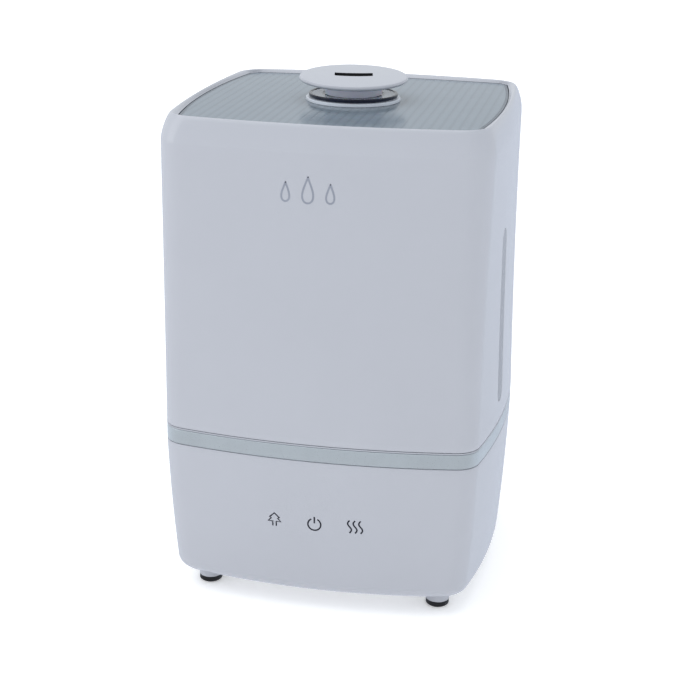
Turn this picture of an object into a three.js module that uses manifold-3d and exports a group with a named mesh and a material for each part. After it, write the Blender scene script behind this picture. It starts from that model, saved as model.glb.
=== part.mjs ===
// Cool mist humidifier with a lift-off water tank. Millimetres, +Z up, front towards -Y.
// The origin is on the floor, under the middle of the body.
import * as THREE from "three";
import { mergeVertices } from "three/addons/utils/BufferGeometryUtils.js";
import Module from "manifold-3d";

const wasm = await Module();
wasm.setup();

// ---- Driving dimensions -------------------------------------------------------------------

const GAP = 0.3; // between neighbouring pieces
const WALL = 2.6; // moulded shells
const THROUGH = 1; // how far a cutter runs past the face it cuts
const ROUND = 24; // sides of a round piece
const COARSE = 12; // sides of a small round piece

// Body outline: half sizes at the band, and how they change upwards and downwards.
const HALF_WIDTH = 106;
const HALF_DEPTH = 107.8;
const SIDE_BOW = 8.6; // rise of the bowed left and right sides
const SIDE_BOW_TOP = 3.2;
const FRONT_BOW = 7.8; // rise of the bowed front and back
const FRONT_BOW_TOP = 6.6;
const CORNER = 15.4;
const CORNER_TOP = 19;
const TANK_WIDTH_TAPER = [-0.066, 0.028]; // linear and square terms up the tank
const TANK_DEPTH_TAPER = [0.036, -0.069];
const BASE_WIDTH_TAPER = [-0.012, -0.032]; // the same, down the base
const BASE_DEPTH_TAPER = [-0.055, 0];

// Heights.
const UNDERSIDE = 10.6;
const SEAM_LOW = 102.5; // top of the base housing
const SEAM_HIGH = 113.1; // top of the basin's lip
const RIM_TOP = 303.8; // crest of the crowned rim round the panel
const RIM_EDGE = 302.1; // where the rim meets the panel's recess
const PANEL_TOP = 301.9;
const TOP_ROUND_HEIGHT = 15.6; // soft shoulder of the tank
const TOP_ROUND_WIDTH = 5.3;
const TOP_ROUND_POWER = 1.42; // below 2: flatter than an ellipse
const BOTTOM_ROUND = 9.2;

// Top panel.
const PANEL_HALF_WIDTH = 94.1;
const PANEL_HALF_DEPTH = 93.2;
const PANEL_SIDE_BOW = 6.3;
const PANEL_FRONT_BOW = 4.5;
const PANEL_CORNER = 8.2;
const PANEL_THICK = 1.4;

// Mist path, from the transducer up to the nozzle.
const CHIMNEY_OUTER = 22;
const CHIMNEY_INNER = 19.8;
const CHIMNEY_LOW = 101;
const TANK_FLOOR = 119; // underside
const FLOOR_THICK = 2.4;
const COLLAR_RADIUS = 29.3;
const DISH_RADIUS = 27.8;
const DISH_LOW = 304.2;
const DISH_HIGH = 306.3;
const NECK_RADIUS = 19;
const NECK_FOOT_RADIUS = 17.6;
const DISC_RADIUS = 34;
const DISC_LOW = 314;
const DISC_THICK = 3.2;
const DISC_RAKE = THREE.MathUtils.degToRad(3.3); // the disc leans towards the side the mist leaves by
const NOZZLE_TURN = THREE.MathUtils.degToRad(11); // where the nozzle stands at rest
const SLOT_LENGTH = 23.6;
const SLOT_WIDTH = 9;
const SLOT_RADIUS = 34; // the slot follows an arc around a point behind the disc

// Filler neck and its cap with the valve.
const NECK = { x: 50, y: 42 };
const FILL_OUTER = 24;
const FILL_INNER = 21;
const FILL_LOW = 106;
const CAP_OUTER = 27.6;
const CAP_PLATE_LOW = 101.4;
const CAP_PLATE_HIGH = 104;
const VALVE_LIFT = 3; // held open by the basin's pin while the tank is seated
const VALVE_HOLE = 7;
const STEM_RADIUS = 2.4;
const STEM_LOW = 84;

// Basin in the base.
const TUB_INSET = 6; // tub wall behind the outer surface
const TUB_WALL = 2;
const TUB_FLOOR = 72;
const LIP_THICK = 0.8;
const RIM_INSET = 2.7; // the rim stands just inside the band
const BAND_TOP = 112;
const WELL_RADIUS = 23;
const WELL_FLOOR = 58;
const AIR = { x: -42, y: 30 };
const AIR_TUBE_OUTER = 20;
const AIR_TUBE_INNER = 17.8;
const AIR_TUBE_TOP = 104;
const FLOAT = { x: -56, y: -54 };
const FLOAT_TRAVEL = 12;

// Feet, bottom cover and its screws.
const FOOT = { x: 73.9, y: 75.6 };
const STUB_RADIUS = 7.4;
const PAD_RADIUS = 7.3;
const PAD_HIGH = 4;
const COVER_HALF = 77;
const COVER_CORNER = 32;
const COVER_HIGH = 13.4;
const LEDGE_HALF = 68;
const LEDGE_CORNER = 26;
const LEDGE_HIGH = 16.6;
const BOSS = 64; // screws stand at plus and minus this in x and y
const BOSS_HIGH = 30;

// Gauge window in the tank's right side.
const WINDOW = { y: -40.8, z: 181.3, halfHeight: 55, halfWidth: 7 };

// Cable gland in the back of the base.
const GLAND = { x: 30, z: 31, bore: 3.6, hole: 6, flange: 8, seat: 101.2 };

// ---- Materials ----------------------------------------------------------------------------

function finish(color, roughness, metalness = 0, opacity = 1) {
  return new THREE.MeshStandardMaterial({
    color,
    roughness,
    metalness,
    opacity,
    transparent: opacity < 1,
  });
}
const WHITE = finish(0xe6e9f2, 0.22);
const SILVER = finish(0xaeb8c1, 0.35, 0.5);
const PANEL_GREY = finish(0x98a2ab, 0.2);
const SMOKED = finish(0x5c6470, 0.08, 0, 0.45);
const CLEAR = finish(0xdfe7ee, 0.08, 0, 0.5);
const FROSTED = finish(0xcdd5de, 0.3, 0, 0.8);
const RUBBER = finish(0x15161a, 0.7);
const SILICONE = finish(0xc9ccd0, 0.6);
const INNER_WHITE = finish(0xd9dce0, 0.45);
const STEEL = finish(0xb9bcc0, 0.3, 1);
const ALUMINIUM = finish(0xc4c7cb, 0.4, 1);
const BOARD_GREEN = finish(0x1f5a3c, 0.5);
const BLACK_PLASTIC = finish(0x1b1c1f, 0.5);
const CERAMIC = finish(0xe9e4d8, 0.35);
const COPPER = finish(0xb87333, 0.35, 1);
const FOAM = finish(0x3c3f43, 0.95);

// ---- Solids -------------------------------------------------------------------------------

// A closed geometry as a manifold-3d solid, turned to face outwards.
function solid(geometry) {
  const bare = geometry.index ? geometry.toNonIndexed() : geometry.clone();
  bare.deleteAttribute("normal");
  bare.deleteAttribute("uv");
  const merged = mergeVertices(bare, 1e-4);
  const vertProperties = merged.attributes.position.array;
  const triVerts = new Uint32Array(merged.index.array);
  const made = new wasm.Manifold(new wasm.Mesh({ numProp: 3, vertProperties, triVerts }));
  if (made.volume() > 0) return made;
  triVerts.reverse();
  return new wasm.Manifold(new wasm.Mesh({ numProp: 3, vertProperties, triVerts }));
}

function geometryOf(body) {
  const mesh = body.getMesh();
  const geometry = new THREE.BufferGeometry();
  geometry.setAttribute("position", new THREE.BufferAttribute(mesh.vertProperties, 3));
  geometry.setIndex(new THREE.BufferAttribute(mesh.triVerts, 1));
  geometry.computeVertexNormals();
  return geometry;
}

function join(first, ...rest) {
  return rest.reduce((all, next) => all.add(next), first);
}

function cut(first, ...rest) {
  return rest.reduce((left, next) => left.subtract(next), first);
}

function block(x0, x1, y0, y1, z0, z1) {
  const geometry = new THREE.BoxGeometry(x1 - x0, y1 - y0, z1 - z0);
  geometry.translate((x0 + x1) / 2, (y0 + y1) / 2, (z0 + z1) / 2);
  return solid(geometry);
}

// A cylinder standing along Z.
function post(radius, low, high, at = { x: 0, y: 0 }, sides = ROUND) {
  const geometry = new THREE.CylinderGeometry(radius, radius, high - low, sides);
  geometry.rotateX(Math.PI / 2);
  geometry.translate(at.x, at.y, (low + high) / 2);
  return solid(geometry);
}

function pipe(outer, inner, low, high, at = { x: 0, y: 0 }, sides = ROUND) {
  return cut(
    post(outer, low, high, at, sides),
    post(inner, low - THROUGH, high + THROUGH, at, sides),
  );
}

// A profile of [radius, height] points turned around Z. It starts and ends on the axis,
// or comes back to its first point.
function turned(profile, sides = ROUND) {
  const points = profile.map(([radius, height]) => new THREE.Vector2(radius, height));
  const geometry = new THREE.LatheGeometry(points, sides);
  geometry.rotateX(Math.PI / 2);
  return solid(geometry);
}

// A ring whose section is the closed list of [radius, height] points.
function turnedRing(section, sides = ROUND) {
  return turned([...section, section[0]], sides);
}

function prism(outline, low, high) {
  const geometry = new THREE.ExtrudeGeometry(new THREE.Shape(outline), {
    depth: high - low,
    bevelEnabled: false,
  });
  geometry.translate(0, 0, low);
  return solid(geometry);
}

// ---- Outlines -----------------------------------------------------------------------------

// Points of a rounded square whose four sides bow outwards: each side is an arc that
// meets the corner arcs in line.
function bowedSquare(halfX, halfY, bowX, bowY, corner, sideSteps = 3, cornerSteps = 4) {
  const cornerX = halfX - corner - bowX;
  const cornerY = halfY - corner - bowY;
  const radiusX = (cornerY ** 2 + bowX ** 2) / (2 * bowX);
  const radiusY = (cornerX ** 2 + bowY ** 2) / (2 * bowY);
  const sideEnd = Math.asin(cornerY / radiusX);
  const backStart = Math.PI / 2 - Math.asin(cornerX / radiusY);
  const quarter = [];
  const arc = (x, y, radius, from, to, steps) => {
    for (let i = 0; i < steps; i++) {
      const angle = from + ((to - from) * i) / steps;
      quarter.push([x + radius * Math.cos(angle), y + radius * Math.sin(angle)]);
    }
  };
  arc(halfX - corner - radiusX, 0, radiusX + corner, 0, sideEnd, sideSteps);
  arc(cornerX, cornerY, corner, sideEnd, backStart, cornerSteps);
  arc(0, halfY - corner - radiusY, radiusY + corner, backStart, Math.PI / 2, sideSteps);
  const upper = [...quarter, [0, halfY], ...mirrored(quarter)];
  const lower = upper.slice(1, -1).map(([x, y]) => [x, -y]);
  return [...upper, ...lower.reverse()].map(([x, y]) => new THREE.Vector2(x, y));
}

function mirrored(points) {
  return points.map(([x, y]) => [-x, y]).reverse();
}

function taper([linear, square], share) {
  return 1 + linear * share + square * share ** 2;
}

// How far a rounded edge has drawn in, at a share of the way to its end.
function roundingInset(width, power, share) {
  const clamped = Math.min(1, Math.max(0, share));
  return width * (1 - (1 - clamped ** power) ** (1 / power));
}

// The body's outline at a height, drawn in by inset.
function bodyOutline(z, inset = 0) {
  const up = Math.max(0, (z - SEAM_HIGH) / (RIM_TOP - SEAM_HIGH));
  const down = Math.max(0, (SEAM_LOW - z) / (SEAM_LOW - UNDERSIDE));
  const topShare = (z - RIM_TOP + TOP_ROUND_HEIGHT) / TOP_ROUND_HEIGHT;
  const bottomShare = (UNDERSIDE + BOTTOM_ROUND - z) / BOTTOM_ROUND;
  const drawnIn =
    inset +
    roundingInset(TOP_ROUND_WIDTH, TOP_ROUND_POWER, topShare) +
    roundingInset(BOTTOM_ROUND, 2, bottomShare);
  const width = HALF_WIDTH * taper(TANK_WIDTH_TAPER, up) * taper(BASE_WIDTH_TAPER, down);
  const depth = HALF_DEPTH * taper(TANK_DEPTH_TAPER, up) * taper(BASE_DEPTH_TAPER, down);
  return bowedSquare(
    width - drawnIn,
    depth - drawnIn,
    SIDE_BOW + (SIDE_BOW_TOP - SIDE_BOW) * up,
    FRONT_BOW + (FRONT_BOW_TOP - FRONT_BOW) * up,
    CORNER + (CORNER_TOP - CORNER) * up - 0.15 * drawnIn,
  );
}

// A closed skin through outlines of equal point count, given as [outline, height].
function loft(sections) {
  const count = sections[0][0].length;
  const positions = sections.flatMap(([outline, z]) => outline.flatMap((p) => [p.x, p.y, z]));
  const index = [];
  for (let level = 0; level < sections.length - 1; level++) {
    for (let i = 0; i < count; i++) {
      const a = level * count + i;
      const b = level * count + ((i + 1) % count);
      index.push(a, b, b + count);
      index.push(a, b + count, a + count);
    }
  }
  const last = (sections.length - 1) * count;
  for (let i = 1; i < count - 1; i++) {
    index.push(0, i + 1, i);
    index.push(last, last + i, last + i + 1);
  }
  const geometry = new THREE.BufferGeometry();
  geometry.setAttribute("position", new THREE.Float32BufferAttribute(positions, 3));
  geometry.setIndex(index);
  return solid(geometry);
}

// Heights from low to high in equal steps.
function levels(low, high, steps) {
  return Array.from({ length: steps + 1 }, (_, i) => low + ((high - low) * i) / steps);
}

function bodyLoft(heights, inset = 0) {
  return loft(heights.map((z) => [bodyOutline(z, inset), z]));
}

// Heights that climb a quarter round evenly by angle, from its foot to its end.
function roundLevels(foot, end, steps) {
  return levels(0, 1, steps)
    .slice(1)
    .map((share) => foot + (end - foot) * Math.sin((share * Math.PI) / 2));
}

function roundedSquare(half, corner) {
  return bowedSquare(half, half, 0.01, 0.01, corner, 1, 5);
}

function panelOutline(inset = 0) {
  return bowedSquare(
    PANEL_HALF_WIDTH - inset,
    PANEL_HALF_DEPTH - inset,
    PANEL_SIDE_BOW,
    PANEL_FRONT_BOW,
    PANEL_CORNER,
  );
}

// ---- Scene graph --------------------------------------------------------------------------

const humidifier = new THREE.Group();

function assembly(parent = humidifier) {
  const group = new THREE.Group();
  parent.add(group);
  return group;
}

function piece(parent, name, body, material) {
  const mesh = new THREE.Mesh(geometryOf(body), material);
  mesh.name = name;
  parent.add(mesh);
  return mesh;
}

const baseUnit = assembly();
const tank = assembly();
const capUnit = assembly(tank);
capUnit.position.set(NECK.x, NECK.y, 0);
const nozzle = assembly(tank);
nozzle.rotation.z = NOZZLE_TURN;
const fan = assembly(baseUnit);
fan.position.set(AIR.x, AIR.y, 0);

const CORNERS = [
  { name: "front_left", x: -1, y: -1 },
  { name: "front_right", x: 1, y: -1 },
  { name: "rear_left", x: -1, y: 1 },
  { name: "rear_right", x: 1, y: 1 },
];

// ---- Base housing, bottom cover and feet --------------------------------------------------

function baseHousing() {
  const roundFoot = UNDERSIDE + BOTTOM_ROUND;
  const outer = bodyLoft([
    ...roundLevels(roundFoot, UNDERSIDE, 4).reverse(),
    ...levels(roundFoot, SEAM_LOW, 3),
  ]);
  const inner = bodyLoft(levels(LEDGE_HIGH, SEAM_LOW + THROUGH, 2), WALL);
  const opening = prism(
    roundedSquare(LEDGE_HALF, LEDGE_CORNER),
    UNDERSIDE - THROUGH,
    LEDGE_HIGH + THROUGH,
  );
  const recess = prism(
    roundedSquare(COVER_HALF + GAP, COVER_CORNER),
    UNDERSIDE - THROUGH,
    COVER_HIGH + GAP,
  );
  let body = cut(outer, inner, opening, recess);
  for (const corner of CORNERS) {
    const foot = { x: corner.x * FOOT.x, y: corner.y * FOOT.y };
    const boss = { x: corner.x * BOSS, y: corner.y * BOSS };
    const stub = post(STUB_RADIUS, PAD_HIGH, LEDGE_HIGH, foot, COARSE);
    const pillar = post(4.2, LEDGE_HIGH - THROUGH, BOSS_HIGH, boss, COARSE);
    const hole = post(1.7, UNDERSIDE, BOSS_HIGH - 2, boss, COARSE);
    body = cut(join(body, stub, pillar), hole);
  }
  const glandHole = join(
    post(GLAND.hole, -20, THROUGH, undefined, COARSE),
    post(GLAND.flange + GAP, 0, 20, undefined, COARSE),
  );
  return cut(body, glandHole.rotate([-90, 0, 0]).translate([GLAND.x, GLAND.seat, GLAND.z]));
}
piece(baseUnit, "base_housing", baseHousing(), WHITE);

function bottomCover() {
  let plate = prism(roundedSquare(COVER_HALF - GAP, COVER_CORNER), UNDERSIDE + GAP, COVER_HIGH);
  for (const { x, y } of CORNERS) {
    plate = cut(plate, post(1.9, 0, 20, { x: x * BOSS, y: y * BOSS }, COARSE));
  }
  // Intake slots under the fan, in two rows.
  for (const row of [-1, 1]) {
    for (let i = 0; i < 7; i++) {
      const x = AIR.x - 19.5 + i * 6.5;
      const y = AIR.y + row * 11;
      plate = cut(plate, block(x - 1.8, x + 1.8, y - 9, y + 9, 0, 20));
    }
  }
  return plate;
}
piece(baseUnit, "bottom_cover", bottomCover(), INNER_WHITE);

const padBody = turned([
  [0, 0],
  [PAD_RADIUS - 0.8, 0],
  [PAD_RADIUS, 0.8],
  [PAD_RADIUS, PAD_HIGH - GAP],
  [0, PAD_HIGH - GAP],
]);
const screwBody = cut(
  turned(
    [
      [0, 8.4],
      [2.3, 8.4],
      [3.1, 9.2],
      [3.1, UNDERSIDE],
      [1.4, UNDERSIDE],
      [1.4, BOSS_HIGH - 4],
      [0, BOSS_HIGH - 3],
    ],
    COARSE,
  ),
  block(-1.9, 1.9, -0.4, 0.4, 8, 9.4),
  block(-0.4, 0.4, -1.9, 1.9, 8, 9.4),
);
for (const corner of CORNERS) {
  const pad = piece(baseUnit, "foot_pad_" + corner.name, padBody, RUBBER);
  pad.position.set(corner.x * FOOT.x, corner.y * FOOT.y, 0);
  const screw = piece(baseUnit, "cover_screw_" + corner.name, screwBody, STEEL);
  screw.position.set(corner.x * BOSS, corner.y * BOSS, 0);
}

// A grommet that grips the wall between its two flanges.
const glandBody = turnedRing(
  [
    [GLAND.bore, -6],
    [GLAND.flange, -6],
    [GLAND.flange, -4.3],
    [GLAND.hole - GAP, -4.3],
    [GLAND.hole - GAP, GAP],
    [GLAND.flange, GAP],
    [GLAND.flange - 0.6, 1.7],
    [GLAND.bore, 1.7],
  ],
  COARSE,
);
const gland = piece(baseUnit, "cord_gland", glandBody, RUBBER);
gland.rotation.x = -Math.PI / 2;
gland.position.set(GLAND.x, GLAND.seat, GLAND.z);

// ---- Band and basin -----------------------------------------------------------------------

function bandRing() {
  const low = SEAM_LOW + GAP;
  const outline = bodyOutline(SEAM_LOW);
  const outer = loft([
    [outline, low],
    [outline, BAND_TOP],
  ]);
  return cut(outer, bodyLoft(levels(low - THROUGH, BAND_TOP + THROUGH, 1), 2.4));
}
piece(baseUnit, "band_ring", bandRing(), SILVER);

function basin() {
  const lipLow = SEAM_HIGH - LIP_THICK;
  const slab = (inset, low, high) => {
    const outline = bodyOutline(SEAM_LOW, inset);
    return loft([
      [outline, low],
      [outline, high],
    ]);
  };
  const rim = join(
    slab(0, lipLow, SEAM_HIGH),
    slab(RIM_INSET, SEAM_LOW + 4, lipLow + 0.2),
    slab(TUB_INSET, TUB_FLOOR, SEAM_HIGH),
  );
  const hollow = slab(TUB_INSET + TUB_WALL, TUB_FLOOR + FLOOR_THICK, SEAM_HIGH + THROUGH);
  const well = post(WELL_RADIUS + TUB_WALL, WELL_FLOOR, TUB_FLOOR + 1);
  const airTube = post(AIR_TUBE_OUTER, TUB_FLOOR, AIR_TUBE_TOP, AIR);
  const pin = post(3, TUB_FLOOR, STEM_LOW - GAP, NECK, COARSE);
  const floatPost = post(3, TUB_FLOOR, TUB_FLOOR + 32, FLOAT, COARSE);
  return cut(
    join(cut(rim, hollow), well, airTube, pin, floatPost),
    post(WELL_RADIUS, WELL_FLOOR + FLOOR_THICK, TUB_FLOOR + FLOOR_THICK + THROUGH),
    post(9, WELL_FLOOR - THROUGH, WELL_FLOOR + FLOOR_THICK + THROUGH),
    post(AIR_TUBE_INNER, TUB_FLOOR - THROUGH, AIR_TUBE_TOP + THROUGH, AIR),
  );
}
piece(baseUnit, "basin", basin(), WHITE);

// ---- Transducer and its driver ------------------------------------------------------------

const discLow = WELL_FLOOR - 2.4;
const transducerDisc = post(10, discLow, discLow + 1.2, undefined, COARSE);
piece(baseUnit, "transducer_disc", transducerDisc, CERAMIC);

const transducerSeal = turnedRing([
  [8.4, WELL_FLOOR - GAP],
  [8.4, discLow + 1.2 + GAP],
  [10 + GAP, discLow + 1.2 + GAP],
  [10 + GAP, discLow - GAP],
  [8.4, discLow - GAP],
  [8.4, discLow - 1.6],
  [13, discLow - 1.6],
  [13, WELL_FLOOR - GAP],
], COARSE);
piece(baseUnit, "transducer_seal", transducerSeal, SILICONE);

const clampHigh = discLow - 1.9;
const transducerClamp = pipe(16, 8.6, clampHigh - 2, clampHigh, undefined, COARSE);
piece(baseUnit, "transducer_clamp", transducerClamp, ALUMINIUM);

const driverBoard = block(-26, 26, -32, 12, 38, 39.6);
piece(baseUnit, "driver_board", driverBoard, BOARD_GREEN);

function heatSink() {
  let body = block(2, 18, -28, 8, 39.9, 42.4);
  for (let i = 0; i < 5; i++) {
    const x = 2 + i * 3.6;
    body = join(body, block(x, x + 1.4, -28, 8, 42, 50));
  }
  return body;
}
piece(baseUnit, "driver_heat_sink", heatSink(), ALUMINIUM);

// ---- Fan and air path ---------------------------------------------------------------------

const FAN_LOW = 42;
const FAN_HIGH = 57;
const FAN_HALF = 25;
const FAN_BORE = 23;
const ROTOR_TIP = 22.2;
const HUB_RADIUS = 9;

function fanFrame() {
  const rim = cut(
    prism(roundedSquare(FAN_HALF, 4), FAN_LOW, FAN_HIGH),
    post(FAN_BORE, FAN_LOW - THROUGH, FAN_HIGH + THROUGH),
  );
  const seat = post(HUB_RADIUS, FAN_LOW, FAN_LOW + 3);
  const spokes = join(
    block(-FAN_BORE - 1, FAN_BORE + 1, -1.5, 1.5, FAN_LOW, FAN_LOW + 2),
    block(-1.5, 1.5, -FAN_BORE - 1, FAN_BORE + 1, FAN_LOW, FAN_LOW + 2),
  );
  return cut(join(rim, seat, spokes), post(1.6, FAN_LOW + 1, FAN_LOW + 4, undefined, COARSE));
}
piece(fan, "fan_frame", fanFrame(), BLACK_PLASTIC);

function fanRotor() {
  const low = FAN_LOW + 3 + GAP;
  const high = FAN_HIGH - 1;
  const hub = cut(post(HUB_RADIUS, low, high), post(1.6, low - THROUGH, high - 2, undefined, COARSE));
  const blades = [];
  for (let i = 0; i < 7; i++) {
    const blade = new THREE.BoxGeometry(ROTOR_TIP - HUB_RADIUS + 1, 1.4, high - low);
    blade.rotateX(THREE.MathUtils.degToRad(38));
    blade.translate((ROTOR_TIP + HUB_RADIUS) / 2, 0, (low + high) / 2);
    blade.rotateZ((i * 2 * Math.PI) / 7);
    blades.push(solid(blade));
  }
  const sweep = pipe(ROTOR_TIP + 0.4, HUB_RADIUS - 1, low, high);
  return join(hub, join(...blades).intersect(sweep));
}
piece(fan, "fan_rotor", fanRotor(), BLACK_PLASTIC);

const fanShaft = post(1.3, FAN_LOW + 1 + GAP, FAN_HIGH - 3 - GAP, undefined, COARSE);
piece(fan, "fan_shaft", fanShaft, STEEL);

const airDuct = turnedRing([
  [FAN_BORE - 1, FAN_HIGH + GAP],
  [FAN_BORE + 1, FAN_HIGH + GAP],
  [AIR_TUBE_OUTER, TUB_FLOOR - GAP],
  [AIR_TUBE_INNER, TUB_FLOOR - GAP],
]);
piece(fan, "air_duct", airDuct, INNER_WHITE);

const filterPad = block(-23, 23, -23, 23, COVER_HIGH + GAP, COVER_HIGH + 6);
piece(fan, "intake_filter", filterPad, FOAM);

const ioniserModule = block(-16, 4, 66, 84, 46, 60);
piece(baseUnit, "ioniser_module", ioniserModule, BLACK_PLASTIC);

// ---- Power supply and touch controls ------------------------------------------------------

const SUPPLY = { x: 40, y: 36 };
const supplyBoard = block(SUPPLY.x - 29, SUPPLY.x + 28, SUPPLY.y - 20, SUPPLY.y + 20, 22, 23.6);
piece(baseUnit, "power_board", supplyBoard, BOARD_GREEN);

function transformerCore() {
  const { x, y } = SUPPLY;
  const outer = block(x - 28, x - 2, y - 12, y + 12, 24, 46);
  const windows = [-1, 1].map((side) => {
    const middle = x - 15 + side * 6.5;
    return block(middle - 3.2, middle + 3.2, y - 13, y + 13, 28, 42);
  });
  return cut(outer, ...windows);
}
piece(baseUnit, "transformer_core", transformerCore(), STEEL);

function transformerWinding() {
  const x = SUPPLY.x - 15;
  const y = SUPPLY.y;
  const coil = block(x - 9, x + 9, y - 15, y + 15, 28.3, 41.7);
  const core = block(x - 3.6, x + 3.6, y - 12.3, y + 12.3, 28, 42);
  return cut(coil, core);
}
piece(baseUnit, "transformer_winding", transformerWinding(), COPPER);

const capacitor = post(7, 23.9, 46, { x: SUPPLY.x + 16, y: SUPPLY.y - 8 }, COARSE);
piece(baseUnit, "smoothing_capacitor", capacitor, BLACK_PLASTIC);

const TOUCH = { z: 61, pitch: 25.1, y: -98 };
const touchBoard = block(-42, 42, TOUCH.y, TOUCH.y + 1.6, TOUCH.z - 10, TOUCH.z + 10);
piece(baseUnit, "touch_board", touchBoard, BOARD_GREEN);

// One sensing pad behind each icon.
const electrode = post(6.5, 0, 2.4, undefined, COARSE);
["ioniser", "power", "mist"].forEach((name, i) => {
  const pad = piece(baseUnit, "touch_pad_" + name, electrode, COPPER);
  pad.rotation.x = Math.PI / 2;
  pad.position.set((i - 1) * TOUCH.pitch, TOUCH.y - GAP, TOUCH.z);
});

// ---- Float and level switch ---------------------------------------------------------------

const floatUnit = assembly(baseUnit);
floatUnit.position.set(FLOAT.x, FLOAT.y, TUB_FLOOR + FLOOR_THICK);
const floatRing = turnedRing([
  [3.6, 1],
  [11, 1],
  [12, 2],
  [12, 12],
  [11, 13],
  [3.6, 13],
], COARSE);
piece(floatUnit, "float_ring", floatRing, FOAM);

const floatCap = pipe(6, 3 + GAP, 13.5 + FLOAT_TRAVEL, 16 + FLOAT_TRAVEL, undefined, COARSE);
piece(floatUnit, "float_stop", floatCap, INNER_WHITE);

const reedSwitch = block(FLOAT.x - 3, FLOAT.x + 3, FLOAT.y - 9, FLOAT.y + 9, 66, TUB_FLOOR - GAP);
piece(baseUnit, "level_switch", reedSwitch, BLACK_PLASTIC);

// ---- Tank ---------------------------------------------------------------------------------

const TANK_LOW = SEAM_HIGH + GAP;
const DECK_HIGH = PANEL_TOP - PANEL_THICK - GAP;
const WINDOW_END_STEPS = 8;

// The gauge window's opening, a bar with round ends, as a solid along X.
function windowBar(shrink) {
  const radius = WINDOW.halfWidth - shrink;
  const reach = WINDOW.halfHeight - WINDOW.halfWidth;
  const points = [];
  for (const side of [1, -1]) {
    for (let i = 0; i <= WINDOW_END_STEPS; i++) {
      const angle = (Math.PI * i) / WINDOW_END_STEPS;
      const along = side * (reach + radius * Math.sin(angle));
      points.push(new THREE.Vector2(side * radius * Math.cos(angle), along));
    }
  }
  const bar = new THREE.ExtrudeGeometry(new THREE.Shape(points), {
    depth: 40,
    bevelEnabled: false,
  });
  bar.rotateX(Math.PI / 2);
  bar.rotateZ(Math.PI / 2);
  bar.translate(80, WINDOW.y, WINDOW.z);
  return solid(bar);
}

function tankWall() {
  const shoulder = RIM_TOP - TOP_ROUND_HEIGHT;
  const heights = [...levels(TANK_LOW, shoulder, 8), ...roundLevels(shoulder, RIM_TOP, 5)];
  const outer = loft([
    ...heights.map((z) => [bodyOutline(z), z]),
    [panelOutline(-GAP), RIM_EDGE],
  ]);
  const inner = bodyLoft(
    [...levels(TANK_LOW - THROUGH, shoulder, 2), DECK_HIGH - WALL],
    WALL,
  );
  return cut(outer, inner);
}

const wall = tankWall();
const tankShell = cut(
  wall,
  prism(panelOutline(-GAP), DECK_HIGH, RIM_TOP + THROUGH),
  post(CHIMNEY_OUTER + 2.4, DECK_HIGH - WALL - THROUGH, RIM_TOP),
  windowBar(0),
);
piece(tank, "tank_shell", tankShell, WHITE);
piece(tank, "water_window", wall.intersect(windowBar(GAP)), CLEAR);

const topPanel = cut(
  prism(panelOutline(), DECK_HIGH + GAP, PANEL_TOP),
  post(CHIMNEY_OUTER + 2.4, DECK_HIGH, RIM_TOP),
);
piece(tank, "top_panel", topPanel, PANEL_GREY);

function tankFloor() {
  const outline = bodyOutline(TANK_FLOOR, WALL + GAP);
  const plate = loft([
    [outline, TANK_FLOOR],
    [bodyOutline(TANK_FLOOR + FLOOR_THICK, WALL + GAP), TANK_FLOOR + FLOOR_THICK],
  ]);
  const skirtOutline = bodyOutline(SEAM_LOW, TUB_INSET + TUB_WALL + 1);
  const skirt = cut(
    loft([
      [skirtOutline, SEAM_HIGH - 6],
      [skirtOutline, TANK_FLOOR + 0.5],
    ]),
    bodyLoft(levels(SEAM_HIGH - 7, TANK_FLOOR, 1), TUB_INSET + TUB_WALL + 3),
  );
  const neck = post(FILL_OUTER, FILL_LOW, TANK_FLOOR + 0.5, NECK);
  const thread = pipe(FILL_OUTER + 0.8, FILL_OUTER - 1, FILL_LOW + 3, FILL_LOW + 5, NECK);
  return cut(
    join(plate, skirt, neck, thread),
    post(FILL_INNER, FILL_LOW - THROUGH, TANK_FLOOR + FLOOR_THICK + THROUGH, NECK),
    post(CHIMNEY_OUTER + GAP, TANK_FLOOR - THROUGH, TANK_FLOOR + FLOOR_THICK + THROUGH),
  );
}
piece(tank, "tank_floor", tankFloor(), INNER_WHITE);

piece(tank, "mist_chimney", pipe(CHIMNEY_OUTER, CHIMNEY_INNER, CHIMNEY_LOW, PANEL_TOP - 1), CLEAR);

const gasketLow = DECK_HIGH - WALL;
const chimneyGasket = pipe(CHIMNEY_OUTER + 2.1, CHIMNEY_OUTER + GAP, gasketLow, DECK_HIGH);
piece(tank, "chimney_gasket", chimneyGasket, SILICONE);

const collar = turnedRing([
  [CHIMNEY_INNER, PANEL_TOP - 1 + GAP],
  [CHIMNEY_OUTER + 2, PANEL_TOP - 1 + GAP],
  [CHIMNEY_OUTER + 2, PANEL_TOP + GAP],
  [COLLAR_RADIUS, PANEL_TOP + GAP],
  [COLLAR_RADIUS - 0.3, DISH_LOW - GAP - 0.2],
  [COLLAR_RADIUS - 1, DISH_LOW - GAP],
  [CHIMNEY_INNER, DISH_LOW - GAP],
]);
piece(tank, "nozzle_collar", collar, FROSTED);

// ---- Nozzle -------------------------------------------------------------------------------

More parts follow.
